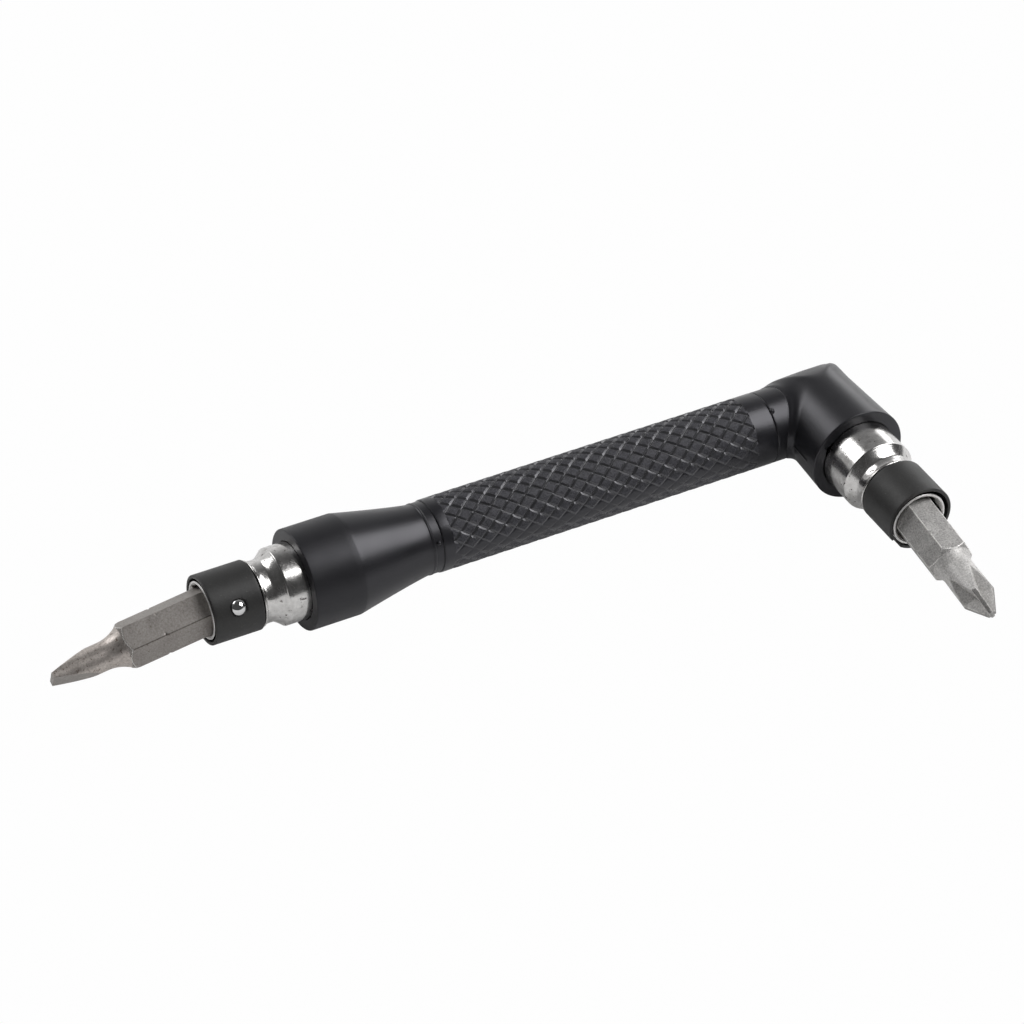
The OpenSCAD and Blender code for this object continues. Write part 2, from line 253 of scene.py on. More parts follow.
def smooth_piece(name, mesh, sharp):
    """An object in the scene, its faces outwards, smooth but for edges sharper than the angle."""
    mesh.update()
    mesh.calc_loop_triangles()
    corners = np.array([v.co for v in mesh.vertices])
    triangles = np.array([t.vertices for t in mesh.loop_triangles])
    a, b, c = (corners[triangles[:, k]] for k in range(3))
    volume = float(np.einsum("ij,ij->i", a, np.cross(b, c)).sum())
    if volume < 0:
        mesh.flip_normals()
    mesh.shade_smooth()
    mesh.set_sharp_from_angle(angle=math.radians(sharp))
    piece = bpy.data.objects.new(name, mesh)
    bpy.context.scene.collection.objects.link(piece)
    return piece


def fit_piece(piece, material, body, node):
    """Gives a piece its finish and its body, and hides the solid that it stands for."""
    piece.data.materials.clear()
    piece.data.materials.append(material)
    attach(piece, body)
    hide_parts(node)


def smooth_step(low, high, value):
    t = np.clip((value - low) / (high - low), 0, 1)
    return t * t * (3 - 2 * t)


def groove_share(turn):
    """How deep the grooves are at a turn: full on top and beneath, and faint at the sides."""
    from_side = np.abs((turn + math.pi / 2) % math.pi - math.pi / 2)
    return 1 - (1 - faint) * smooth_step(fade_from, fade_to, from_side)


grip_low, grip_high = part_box("grip_sleeve")
grip_front = grip_low.x / MM - elbow_centre[0]
grip_rear = grip_high.x / MM - elbow_centre[0]
half_len = diamond_len / 2
half_turn = math.pi / diamonds_around
knurl_start = (knurl_from_face - lattice_corner) / half_len
knurl_end = knurl_start + 2 * knurl_lengths
groove_gaps, groove_drops = np.array(groove_cut).T
across_pad = np.concatenate((groove_gaps, pad_middle, 2 - groove_gaps[::-1]))


def diamond_points(i, j):
    """One cell of the lattice as a grid of (along, around, radius): a pad with a groove all round."""
    u, v = np.meshgrid(across_pad, across_pad, indexing="ij")
    around = i - j + (u - v) / 2
    gap = np.minimum(np.minimum(u, 2 - u), np.minimum(v, 2 - v))
    drop = np.interp(gap, groove_gaps, groove_drops) + pad_crown * smooth_step(crown_from, 1.0, gap)
    drop = drop * groove_share(lattice_turn + around * half_turn)
    return np.stack((i + j + (u + v) / 2, around, grip_r + drop), -1)


def clipped(face, limit, side):
    """The part of a face of (along, around, radius) points before (side 1) or after (-1) a limit."""
    kept = []
    for p, q in zip(face, face[1:] + face[:1]):
        p_in, q_in = (limit - p[0]) * side >= 0, (limit - q[0]) * side >= 0
        if p_in:
            kept.append(p)
        if p_in != q_in:
            share = (limit - p[0]) / (q[0] - p[0])
            kept.append((limit, p[1] + (q[1] - p[1]) * share, p[2] + (q[2] - p[2]) * share))
    return kept


def knurl_faces():
    """All faces of the knurl, cut off square at both ends, with a kind: 0 plain, 1 pad, 2 groove."""
    faces = []
    edge = len(groove_gaps) - 1
    inner = range(edge, len(across_pad) - 1 - edge)
    patches = [(k, m) for k in range(len(across_pad) - 1) for m in range(len(across_pad) - 1)]
    for around_cell in range(2 * diamonds_around):
        for along_cell in range(math.floor(knurl_start) - 2, math.ceil(knurl_end) + 2):
            if (along_cell + around_cell) % 2:
                continue
            i, j = (along_cell + around_cell) // 2, (along_cell - around_cell) // 2
            grid = diamond_points(i, j)
            raised = groove_share(lattice_turn + (i - j) * half_turn) > pad_share
            for k, m in patches:
                face = [tuple(grid[a, b]) for a, b in ((k, m), (k, m + 1), (k + 1, m + 1), (k + 1, m))]
                face = clipped(clipped(face, knurl_end, 1), knurl_start, -1)
                if len(face) > 2:
                    kind = 0 if not raised else 1 if k in inner and m in inner else 2
                    faces.append((face, kind))
    return faces


grip_points = []
grip_index = {}


def grip_point(along, around, r):
    """The number of a point of the grip's skin. A point that is there already is used again."""
    around = around % (2 * diamonds_around)
    turn_key = round(around * weld) % round(2 * diamonds_around * weld)
    key = (round(along * weld), turn_key, round(r * weld))
    if key not in grip_index:
        grip_index[key] = len(grip_points)
        x = grip_front + lattice_corner + along * half_len
        grip_points.append(about_handle(x, r, lattice_turn + around * half_turn))
    return grip_index[key]


def end_band(limit, seam, out):
    """Rings of (along, radius) from an end of the knurl, over its band, to the seam and the bore."""
    place = lambda x: (x - grip_front - lattice_corner) / half_len
    return [(limit + knurl_margin * out, grip_r), (limit + 2 * knurl_margin * out, grip_r),
            (place(seam - 2 * seam_chamfer * out), grip_r),
            (place(seam - seam_chamfer * out), grip_r - seam_ease),
            (place(seam), grip_face_r), (place(seam), core_bore_r)]


grip_faces = []
face_kinds = []
end_rims = {knurl_start: {}, knurl_end: {}}
for face, kind in knurl_faces():
    corners = [grip_point(*p) for p in face]
    for (along, around, r), number in zip(face, corners):
        if along in end_rims:
            end_rims[along][round(around % (2 * diamonds_around) * weld)] = (around, r)
    corners = [n for k, n in enumerate(corners) if n != corners[k - 1]]
    if len(corners) > 2:
        grip_faces.append(corners)
        face_kinds.append(kind)
bore_rims = []
for limit, seam, out in ((knurl_start, grip_front, -1), (knurl_end, grip_rear, 1)):
    rim = [end_rims[limit][key] for key in sorted(end_rims[limit])]
    rings = [[grip_point(limit, around, r) for around, r in rim]]
    for along, r in end_band(limit, seam, out):
        rings.append([grip_point(along, around, r) for around, _ in rim])
    bore_rims.append(rings[-1])
    for low, high in zip(rings, rings[1:]):
        grip_faces += [(low[k - 1], low[k], high[k], high[k - 1]) for k in range(len(rim))]
front_rim, rear_rim = bore_rims
for k in range(len(front_rim)):
    grip_faces.append((front_rim[k - 1], front_rim[k], rear_rim[k], rear_rim[k - 1]))
grip_mesh = bpy.data.meshes.new("grip")
grip_mesh.from_pydata([tuple(p) for p in grip_points], [], grip_faces)
grip_skin = bmesh.new()
grip_skin.from_mesh(grip_mesh)
bmesh.ops.recalc_face_normals(grip_skin, faces=grip_skin.faces)
grip_skin.to_mesh(grip_mesh)
grip_skin.free()
grip = smooth_piece("grip", grip_mesh, sharp=24)
cool_sheen = (0.95, 0.94, 1.0)
grip_black = grained_finish(
    "black grip moulding", dark=(0.0095, 0.0095, 0.0112), light=(0.0195, 0.0195, 0.023),
    mark=(0.06, 0.06, 0.062), rough=(0.26, 0.34), mark_rough=0.55, grain=(5200, 260),
    flecks=(2100, 0.69, 0.8), bump=(0.20, 0.00003), gloss=0.55, sheen_tint=cool_sheen)
pad_black = grained_finish(
    "black textured pads", dark=(0.012, 0.012, 0.0145), light=(0.046, 0.046, 0.054),
    mark=(0.11, 0.11, 0.115), rough=(0.50, 0.64), mark_rough=0.7, grain=(4200, 420),
    flecks=(3000, 0.64, 0.8), bump=(1.0, 0.00008), gloss=0.5, speckle=0.8, sheen_tint=cool_sheen)
# The groove faces are lighter than the pads: a painted highlight for the light that the groove walls
# catch.
groove_highlight_black = grained_finish(
    "black groove walls with painted highlight", dark=(0.022, 0.022, 0.024), light=(0.05, 0.05, 0.053),
    mark=(0.10, 0.10, 0.10), rough=(0.24, 0.32), mark_rough=0.5, grain=(5200, 300),
    flecks=(2400, 0.68, 0.8), bump=(0.20, 0.00003), gloss=0.85, sheen_tint=cool_sheen)
fit_piece(grip, grip_black, "handle", "grip_sleeve")
grip.data.materials.append(pad_black)
grip.data.materials.append(groove_highlight_black)
for number, kind in enumerate(face_kinds):
    grip.data.polygons[number].material_index = kind

# Front collar
# A black moulding on the rod's front end: a matt straight front that holds the socket, a crisp
# shoulder, and a satin taper into a short neck with a fine ring and one moulded pip at the seam.

collar_r = 7.6
collar_round = 0.2
neck_r = 5.33
neck_ring_r = 5.42
neck_band_r = 5.36
neck_ring_from_seam = 1.55
neck_ring_rise = 0.12
neck_ring_len = 0.2
neck_ring_end = 0.32
neck_band_from = 0.42
neck_band_step = 0.09
neck_crest = 0.01
seam_drop = 0.09
seam_lip = 0.02
collar_spokes = 288
socket_r = 5.8
fit_clear = 0.02
mouth_ease = 0.15
socket_seat = 8.0
seat_floor = 2.0
seat_hole_r = 0.4
collar_straight = 7.8
taper_power = 1.12
neck_len = 1.8
pip_r = 0.36
front_pip_from_seam = 0.7
front_pip_turn = math.radians(-62.6)


def arc_points(centre, radius, start, end, steps):
    """Points of an arc in a profile, with the angles in degrees."""
    angle = np.radians(np.linspace(start, end, steps))
    return list(zip(centre[0] + radius * np.cos(angle), centre[1] + radius * np.sin(angle)))


def raise_pip(rings, x, turn, size):
    """Lifts a small dome on a skin round the handle, at x and that turn."""
    spot = about_handle(x, neck_r, turn)
    axis = elbow_centre * MM
    away = np.linalg.norm(rings - spot, axis=-1) / (size * MM)
    outward = rings - axis
    outward[..., 0] = 0
    outward /= np.maximum(np.linalg.norm(outward, axis=-1, keepdims=True), 1e-9)
    return rings + outward * (np.sqrt(np.clip(1 - away**2, 0, 1)) * size * MM)[..., None]


collar_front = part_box("front_collar")[0].x / MM - elbow_centre[0]
taper_start = collar_front + collar_straight
taper_end = grip_front - neck_len
collar_profile = [(collar_front, socket_r + mouth_ease)]
collar_edge = (collar_front + collar_round, collar_r - collar_round)
collar_profile += arc_points(collar_edge, collar_round, 180, 90, 10)
collar_profile += [(x, collar_r) for x in np.linspace(collar_front + collar_round, taper_start, 9)[1:]]
for t in np.linspace(0, 1, 26)[1:]:
    drop = (collar_r - neck_r) * (1 - (1 - t) ** taper_power)
    collar_profile.append((taper_start + (taper_end - taper_start) * t, collar_r - drop))
ring_x = grip_front - neck_ring_from_seam
collar_profile += [(ring_x - neck_ring_rise, neck_r), (ring_x, neck_ring_r),
                   (ring_x + neck_ring_len, neck_ring_r + neck_crest),
                   (ring_x + neck_ring_end, neck_band_r)]
band_stations = np.arange(ring_x + neck_band_from, grip_front - seam_chamfer, neck_band_step)
collar_profile += [(x, neck_band_r) for x in band_stations]
collar_profile += [(grip_front - seam_chamfer, neck_band_r - neck_crest),
                   (grip_front - seam_lip, neck_band_r - seam_drop),
                   (grip_front, neck_band_r - seam_drop), (grip_front, core_bore_r)]
seat = collar_front + socket_seat
collar_profile += [(seat + seat_floor, core_bore_r), (seat + seat_floor, seat_hole_r),
                   (seat, seat_hole_r), (seat, socket_r + fit_clear),
                   (collar_front + mouth_ease, socket_r + fit_clear)]
around = np.linspace(0, 2 * math.pi, collar_spokes, endpoint=False)
collar_rings = np.stack([about_handle(x, r, around) for x, r in collar_profile])
collar_rings = raise_pip(collar_rings, grip_front - front_pip_from_seam, front_pip_turn, pip_r)
collar = lofted("collar", collar_rings, loop=True, sharp=14)
moulding = dict(
    dark=(0.0078, 0.0078, 0.0094), light=(0.0128, 0.0128, 0.0152), mark=(0.08, 0.08, 0.08),
    grain=(3800, 120), flecks=(1500, 0.745, 0.7), sheen_tint=cool_sheen)
moulded_black = grained_finish("black satin moulding", rough=(0.30, 0.38), mark_rough=0.55,
                               bump=(0.10, 0.00003), gloss=0.55, **moulding)
matt_black = grained_finish("black matt moulding", rough=(0.40, 0.50), mark_rough=0.6,
                            bump=(0.14, 0.00003), gloss=0.5, **moulding)
fit_piece(collar, moulded_black, "handle", "front_collar")
collar.data.materials.append(matt_black)
for face in collar.data.polygons:
    face.material_index = int(face.center.x / MM - elbow_centre[0] < taper_start)

# Elbow head
# A black moulding on the rod's rear end. Its neck carries the other seam and pip, its back is rounded,
# and a slightly flared barrel leaves it at a right angle to hold the side socket.

neck_radius = 5.48
seam_round = 0.22
elbow_line_r = 8.0
elbow_step = 0.10
line_width = 0.1
line_least = 2.0
line_depth = 0.08
flare_slope = 0.13
flare_most = 0.62
flare_round = 0.3
neck_sink = 0.9
barrel_root_r = 6.98
barrel_front_r = 7.55
barrel_len = 12.2
back_centre = -3.0
back_reach = 9.0
back_height = 7.25
back_rise = 0.2
side_seat = 5.5
back_round = 0.6
ridge_round = 0.2
ridge_span = (2.0, 5.5)
outer_blend = 0.3
inner_blend = 0.6
inner_x = (1.0, -3.0)
inner_y = (4.0, 0.0)
parting_middle = -5.6
parting_half = 4.4
parting_r = 0.13
parting_sink = 0.05
trim_blend = 0.15
pocket_round = 0.25
bore_round = 0.1
rim_cut = 1.2
rim_round = 0.16
rim_lead = 0.4
rim_face = 0.5
pocket_ease = 0.1
core_past_axis = 2.0
elbow_voxel = 0.14
skin_steps = 16
evened_steps = range(3, 10)
corner_from_axis = 6.4
corner_x = (-9.5, -1.0)
corner_y = 8.0
probe = 0.02
least_steep = 0.2
draw_share = 0.7
draw_most = 0.3
rear_pip_past_seam = 0.3
rear_pip_turn = math.radians(-28)


def soft_min(a, b, blend):
    """The lower of two values, rounded over a blend width where they meet."""
    share = np.clip(0.5 + 0.5 * (b - a) / blend, 0, 1)
    return b * (1 - share) + a * share - blend * share * (1 - share)


def soft_max(a, b, blend):
    return -soft_min(-a, -b, blend)


def elbow_field(p):
    """Below zero inside the elbow. Points are in millimetres from where its two axes cross."""
    x, y, z = p[:, 0], p[:, 1], p[:, 2]
    from_handle = np.hypot(y, z)
    from_barrel = np.hypot(x, z)
    past = x + np.sqrt(np.maximum(elbow_line_r**2 - z**2, line_least**2))
    step = elbow_step * np.clip(past / line_width, 0, 1)
    flare = soft_min(flare_slope * np.maximum(past, 0), flare_most, flare_round)
    line = line_depth * np.exp(-((past + line_width) / line_width) ** 2)
    handle_r = neck_radius + step + flare - line
    neck = soft_max(from_handle - handle_r, grip_rear - x, seam_round)
    neck = soft_max(neck, np.hypot(np.maximum(x, 0), z) - barrel_root_r + neck_sink, back_round)
    barrel_r = barrel_root_r + (barrel_front_r - barrel_root_r) * np.clip(-y / barrel_len, 0, 1)
    height = back_height + back_rise * np.maximum(back_centre - y, 0)
    back = (np.hypot(np.maximum(y - back_centre, 0) / back_reach, z / height) - 1) * back_height
    ridge = ridge_round + back_round * smooth_step(*ridge_span, np.abs(x))
    barrel = soft_max(from_barrel - barrel_r, back, ridge)
    barrel = np.maximum(barrel, -(y + barrel_len))
    pip = np.linalg.norm(p - pip_centre, axis=1) - pip_r
    from_line = np.hypot(z, x + barrel_r - parting_sink)
    parting = np.hypot(np.maximum(np.abs(y - parting_middle) - parting_half, 0), from_line) - parting_r
    blend = outer_blend + inner_blend * smooth_step(*inner_y, y) * smooth_step(*inner_x, x)
    body = soft_min(soft_min(soft_min(neck, barrel, blend), pip, trim_blend), parting, trim_blend)
    pocket = np.maximum(from_barrel - socket_r - fit_clear, y + barrel_len - side_seat)
    bore = np.maximum(from_handle - core_bore_r, x - core_past_axis - fit_clear)
    return soft_max(soft_max(body, -pocket, pocket_round), -bore, bore_round)


def remeshed_copy(name, node, voxel):
    """A fine even skin over a copy of a solid, to be drawn onto a smoother form."""
    piece = bpy.data.objects.new(name, frame["nodes"][node].data.copy())
    bpy.context.scene.collection.objects.link(piece)
    skin = piece.modifiers.new("skin", "REMESH")
    skin.mode = "VOXEL"
    skin.voxel_size = voxel * MM
    graph = bpy.context.evaluated_depsgraph_get()
    mesh = bpy.data.meshes.new_from_object(piece.evaluated_get(graph))
    bpy.data.objects.remove(piece)
    return mesh


def turn_front(mesh):
    """Cuts the barrel off short and adds its front, with a crisp rim, a flat face and an inner edge."""
    skin = bmesh.new()
    skin.from_mesh(mesh)
    bmesh.ops.bisect_plane(
        skin, geom=skin.verts[:] + skin.edges[:] + skin.faces[:], dist=1e-7, plane_no=(0, -1, 0),
        plane_co=(0, (elbow_centre[1] - barrel_len + rim_cut) * MM, 0), clear_outer=True)
    front = -barrel_len
    slope = (barrel_front_r - barrel_root_r) / barrel_len
    leads = (front + 2 * rim_lead, front + rim_lead)
    outer = [(y, barrel_front_r - slope * (barrel_len + y)) for y in leads]
    rim = arc_points((barrel_len - rim_round, barrel_front_r - rim_round), rim_round, 90, 0, 6)
    outer += [(-y, r) for y, r in rim]
    outer.append((front, barrel_front_r - rim_face))
    pocket_r = socket_r + fit_clear
    inner = [(front + rim_lead, pocket_r), (front + pocket_ease, pocket_r),
             (front, pocket_r + pocket_ease)]
    open_points = {v for e in skin.edges if e.is_boundary for v in e.verts}
    last_edges = []
    for profile, is_outer in ((outer, True), (inner, False)):
        spots = []
        for v in open_points:
            x, _, z = np.array(v.co) / MM - elbow_centre
            if (math.hypot(x, z) > (socket_r + barrel_front_r) / 2) == is_outer:
                spots.append((math.atan2(z, x), v))
        spots.sort(key=lambda spot: spot[0])
        ring = [v for _, v in spots]
        for y, r in profile:
            places = [elbow_centre + (r * math.cos(a), y, r * math.sin(a)) for a, _ in spots]
            step = [skin.verts.new(place * MM) for place in places]
            for k in range(len(ring)):
                skin.faces.new((ring[k - 1], ring[k], step[k], step[k - 1]))
            ring = step
        last_edges += [skin.edges.get((ring[k - 1], ring[k])) for k in range(len(ring))]
    bmesh.ops.bridge_loops(skin, edges=last_edges)
    bmesh.ops.recalc_face_normals(skin, faces=skin.faces)
    skin.to_mesh(mesh)
    skin.free()


pip_centre = np.array((grip_rear + rear_pip_past_seam, neck_radius * math.sin(rear_pip_turn),
                       neck_radius * math.cos(rear_pip_turn)))
elbow_mesh = remeshed_copy("elbow", "elbow_head", elbow_voxel)
skin_points = np.array([v.co for v in elbow_mesh.vertices]) / MM - elbow_centre
edge_ends = np.array([e.vertices for e in elbow_mesh.edges])
neighbours = np.bincount(edge_ends.ravel(), minlength=len(skin_points))[:, None]
skin_x, skin_y, skin_z = skin_points.T
near_corner = np.hypot(skin_x, skin_z) > corner_from_axis
near_corner &= (skin_x > corner_x[0]) & (skin_x < corner_x[1]) & (np.abs(skin_y) < corner_y)
for step in range(skin_steps):
    if step in evened_steps:
        total = np.zeros_like(skin_points)
        np.add.at(total, edge_ends[:, 0], skin_points[edge_ends[:, 1]])
        np.add.at(total, edge_ends[:, 1], skin_points[edge_ends[:, 0]])
        evened = (skin_points + total / neighbours) / 2
        skin_points = np.where(near_corner[:, None], evened, skin_points)
    height = elbow_field(skin_points)
    slope = np.empty_like(skin_points)
    for k, axis in enumerate(np.eye(3)):
        rise = elbow_field(skin_points + probe * axis) - elbow_field(skin_points - probe * axis)
        slope[:, k] = rise / (2 * probe)
    steep = np.maximum((slope**2).sum(1), least_steep)
    draw = draw_share * np.clip(height / steep, -draw_most, draw_most)
    skin_points = skin_points - draw[:, None] * slope
elbow_mesh.vertices.foreach_set("co", ((skin_points + elbow_centre) * MM).astype(np.float32).ravel())
turn_front(elbow_mesh)
elbow = smooth_piece("elbow", elbow_mesh, sharp=60)
fit_piece(elbow, moulded_black, "handle", "elbow_head")

# Sockets
# Two alike turned and plated steel sockets, one pressed into the collar and one into the barrel.
# Each has a plain body, a hollow waist, a thin bead and a nose with a hexagonal bore.

socket_len = 22.6
socket_chamfer = 0.3
socket_inset = (1.0, 0.3)
socket_spokes = 192
waist_from_mouth = 11.2
waist_r = 4.65
waist_lip = 0.12
waist_round = 0.22
waist_power = 1.35
waist_share = 0.5
bead_power = 5
bead_len = 0.5
bead_r = 4.82
bead_gap = 0.05
bead_round = 0.16
bead_sink = 0.02
nose_r = 4.35
nose_round = 0.14
nose_ease = 0.05
nose_inset = 0.3
ring_len = 7.6
bore_af = 6.9
bore_depth = 14.0
bore_stations = (3.0, 6.0, bore_depth)
mouth_r = 4.05
mouth_depth = 0.65
rim_depth = 0.2
ball_r = 1.25
ball_from_mouth = 3.8
ball_intrude = 0.5
hole_clear = 0.06
hole_len = 3.0
hole_spokes = 72
front_ball_turn = -61.5
side_ball_turn = -1.5


class Head:
    """One end of the tool: the middle of its mouth, its outward axis, and the two axes across it."""

    def __init__(self, mouth, out, across, turn):
        self.mouth, self.out, self.across = np.array(mouth), np.array(out), np.array(across)
        self.up = np.cross(self.out, self.across)
        self.turn = math.radians(turn)

    def at(self, s, r, angle):
        """Points a distance s out of the mouth at radius r. Angle 0 is the ball's direction."""
        s, r, angle = np.broadcast_arrays(s, r, angle + self.turn)
        spokes = np.cos(angle)[..., None] * self.across + np.sin(angle)[..., None] * self.up
        return (self.mouth + s[..., None] * self.out + r[..., None] * spokes) * MM


def hexagon(angle, across_flats, blend):
    """Radius of a hexagon with a corner at angle 0, its corners rounded over the blend."""
    sector = math.pi / 3
    turn = (angle + sector / 2) % sector - sector / 2
    near = across_flats / 2 / np.cos(sector / 2 - np.abs(turn))
    far = across_flats / 2 / np.cos(sector / 2 + np.abs(turn))
    return soft_min(near, far, blend) if blend else near


def drilled(piece, centre, direction, radius, length):
    """Cuts a round hole, whose middle and direction are given, out of a piece."""
    reach = Vector(direction) * length / 2 * MM
    turns = np.linspace(0, 2 * math.pi, hole_spokes, endpoint=False)
    side = Vector(direction).orthogonal().normalized()
    other = Vector(direction).cross(side)
    circle = [(side * math.cos(t) + other * math.sin(t)) * radius * MM for t in turns]
    loops = [[Vector(centre) + end + spoke for spoke in circle] for end in (-reach, reach)]
    cutter = lofted("cutter", np.array(loops, float))
    cut = piece.modifiers.new("hole", "BOOLEAN")
    cut.operation, cut.solver, cut.object = "DIFFERENCE", "EXACT", cutter
    graph = bpy.context.evaluated_depsgraph_get()
    mesh = bpy.data.meshes.new_from_object(piece.evaluated_get(graph))
    piece.modifiers.clear()
    piece.data = mesh
    bpy.data.objects.remove(cutter)


front_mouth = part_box("front_socket")[0].x / MM
side_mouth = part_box("side_socket")[0].y / MM
front_head = Head((front_mouth, elbow_centre[1], elbow_centre[2]),
                  (-1.0, 0.0, 0.0), (0.0, 0.0, 1.0), front_ball_turn)
side_head = Head((elbow_centre[0], side_mouth, elbow_centre[2]),
                 (0.0, -1.0, 0.0), (1.0, 0.0, 0.0), side_ball_turn)

bead_s = -ring_len - bead_gap
waist_s = -waist_from_mouth
waist_end_s = bead_s - bead_len
waist_low_s = waist_s + waist_share * (waist_end_s - waist_s)
socket_profile = [(-socket_len, socket_r - socket_chamfer), (-socket_len + socket_chamfer, socket_r)]
body_stations = np.linspace(-socket_len + socket_inset[0], waist_s - socket_inset[1], 8)
socket_profile += [(s, socket_r) for s in body_stations]
socket_profile += arc_points((waist_s - waist_round, socket_r - waist_round), waist_round, 90, 25, 6)
for t in np.linspace(0.06, 1, 14):
    r = waist_r + (socket_r - waist_lip - waist_r) * (1 - t) ** waist_power
    socket_profile.append((waist_s + (waist_low_s - waist_s) * t, r))
for t in np.linspace(0.1, 1, 8):
    r = waist_r + (bead_r - waist_r) * t**bead_power
    socket_profile.append((waist_low_s + (waist_end_s - waist_low_s) * t, r))
socket_profile += arc_points((bead_s - 2 * bead_round, bead_r - bead_sink), bead_round, 120, 0, 7)
socket_profile += [(bead_s - nose_round, nose_r + nose_ease), (bead_s - nose_ease, nose_r)]
socket_profile += [(s, nose_r) for s in np.linspace(bead_s + nose_inset, -nose_inset, 6)]
socket_profile += arc_points((-nose_round, nose_r - nose_round), nose_round, 90, 0, 5)
spokes = np.linspace(0, 2 * math.pi, socket_spokes, endpoint=False)
bore_radius = hexagon(spokes, bore_af, 0)
plated_steel = grained_finish(
    "bright plating", dark=(0.42, 0.41, 0.40), light=(0.86, 0.85, 0.84), mark=(0.07, 0.06, 0.05),
    rough=(0.13, 0.26), mark_rough=0.5, grain=(1200, 330), flecks=(1300, 0.61, 1.0),
    bump=(0.26, 0.00005), metallic=1.0, speckle=0.2)
# The mouth rim is lighter and less metallic than the plating: a machined face, and in part a painted
# highlight.
machined_rim_highlight = grained_finish(
    "machined steel rim with painted highlight", dark=(0.62, 0.61, 0.60), light=(0.86, 0.85, 0.84), mark=(0.35, 0.33, 0.31),
    rough=(0.34, 0.46), mark_rough=0.55, grain=(4200, 700), flecks=(2600, 0.68, 1.0),
    bump=(0.15, 0.00003), metallic=0.6)
for head, title in ((front_head, "front"), (side_head, "side")):
    socket_rings = [head.at(s, r, spokes) for s, r in socket_profile]
    for s in np.linspace(0, -mouth_depth, 7):
        cone = mouth_r + (bore_af / 2 - mouth_r) * -s / mouth_depth
        socket_rings.append(head.at(s, np.maximum(bore_radius, cone), spokes))
    socket_rings += [head.at(-depth, bore_radius, spokes) for depth in bore_stations]
    socket = lofted(title + "_socket_plated", np.stack(socket_rings), sharp=38)
    hole_middle = head.at(-ball_from_mouth, nose_r, 0.0)
    hole_out = (hole_middle - head.at(-ball_from_mouth, 0.0, 0.0)) / (nose_r * MM)
    drilled(socket, hole_middle, hole_out, ball_r + hole_clear, hole_len)
    fit_piece(socket, plated_steel, "handle", title + "_socket")
    socket.data.materials.append(machined_rim_highlight)
    # Faces near the mouth take the lighter rim finish, in part a painted highlight.
    for face in socket.data.polygons:
        depth = (head.mouth - np.array(face.center) / MM) @ head.out
        face.material_index = int(depth < rim_depth)

# Spring rings and balls
# A split band of black spring steel closes round each nose and presses a steel ball through the wall,
# into the corner of the bore. The side ball rides on its bit's corner, so its ring stands off centre.

ring_outer = 5.22
ring_wall = 0.5
ring_edge = 0.13
ring_ease = 0.06
ring_inset = 0.5
ring_steps = 200
front_split = (1.3, math.radians(-165))
side_split = (2.4, math.radians(-137.5))
hex_af = 6.35
ball_clear = 0.05
ball_fit = 0.005
ball_rows = 49
ball_spokes = 96
bore_corner = bore_af / math.sqrt(3)
ball_down = bore_corner - ball_intrude + ball_r
ball_lift = hex_af / math.sqrt(3) + ball_clear + ball_r - ball_down


def ring_section():
    """Outline of the band, of (s, r) points, with its outer edges rounded and its inner ones eased."""
    low, high = -ring_len, -ball_clear
    inner = ring_outer - ring_wall
    points = arc_points((high - ring_edge, ring_outer - ring_edge), ring_edge, 0, 90, 6)
    points += [(s, ring_outer) for s in np.linspace(high - ring_inset, low + ring_inset, 12)]
    points += arc_points((low + ring_edge, ring_outer - ring_edge), ring_edge, 90, 180, 6)
    points += arc_points((low + ring_ease, inner + ring_ease), ring_ease, 180, 270, 3)
    points += [(s, inner) for s in np.linspace(low + ring_inset, high - ring_inset, 12)]
    points += arc_points((high - ring_ease, inner + ring_ease), ring_ease, 270, 360, 3)
    return points


ring_black = grained_finish(
    "black spring steel", dark=(0.015, 0.0148, 0.0145), light=(0.028, 0.0275, 0.027),
    mark=(0.09, 0.09, 0.086), rough=(0.43, 0.56), mark_rough=0.62, grain=(4600, 300),
    flecks=(2300, 0.66, 1.0), bump=(0.22, 0.00004), gloss=0.52, speckle=0.4)
ball_steel = grained_finish(
    "polished ball steel", dark=(0.66, 0.66, 0.67), light=(0.80, 0.80, 0.80), mark=(0.25, 0.24, 0.23),
    rough=(0.04, 0.10), mark_rough=0.3, grain=(3000, 600), flecks=(2600, 0.72, 1.0),
    bump=(0.05, 0.00002), metallic=1.0)
section_s, section_r = np.array(ring_section()).T
for head, title, lift, (gap, gap_turn) in (
        (front_head, "front", 0.0, front_split), (side_head, "side", ball_lift, side_split)):
    half_gap = math.asin(gap / 2 / ring_outer)
    sweep = gap_turn + np.linspace(half_gap, 2 * math.pi - half_gap, ring_steps)
    shift = head.at(0.0, lift, 0.0) - head.at(0.0, 0.0, 0.0)
    band_rings = head.at(section_s[None, :], section_r[None, :], sweep[:, None]) + shift
    band = lofted(title + "_ring_band", band_rings, sharp=40)
    ball_centre = head.at(-ball_from_mouth, ball_down + lift, 0.0)
    outward = (ball_centre - head.at(-ball_from_mouth, 0.0, 0.0)) / ((ball_down + lift) * MM)
    drilled(band, ball_centre, outward, ball_r + ball_fit, hole_len)
    fit_piece(band, ring_black, title + "_detent", title + "_spring_ring")
    latitude = np.linspace(-math.pi / 2, math.pi / 2, ball_rows)[1:-1]
    around_ball = np.linspace(0, 2 * math.pi, ball_spokes, endpoint=False)
    across_ball = np.array(Vector(outward).orthogonal().normalized())
    upright = np.cross(outward, across_ball)
    circle = np.cos(around_ball)[:, None] * across_ball + np.sin(around_ball)[:, None] * upright
    spokes_out = [math.sin(t) * outward + math.cos(t) * circle for t in latitude]
    ball_rings = np.stack([ball_centre + ball_r * MM * spoke for spoke in spokes_out])
    ball = lofted(title + "_detent_ball", ball_rings)
    fit_piece(ball, ball_steel, title + "_detent", title + "_ball")

# Insert bits
# Two grey blasted steel bits with hexagonal shanks and notched corners. They hang a little in their
# loose sockets: a ground slotted blade in front, and a cross point with four flutes at the side.

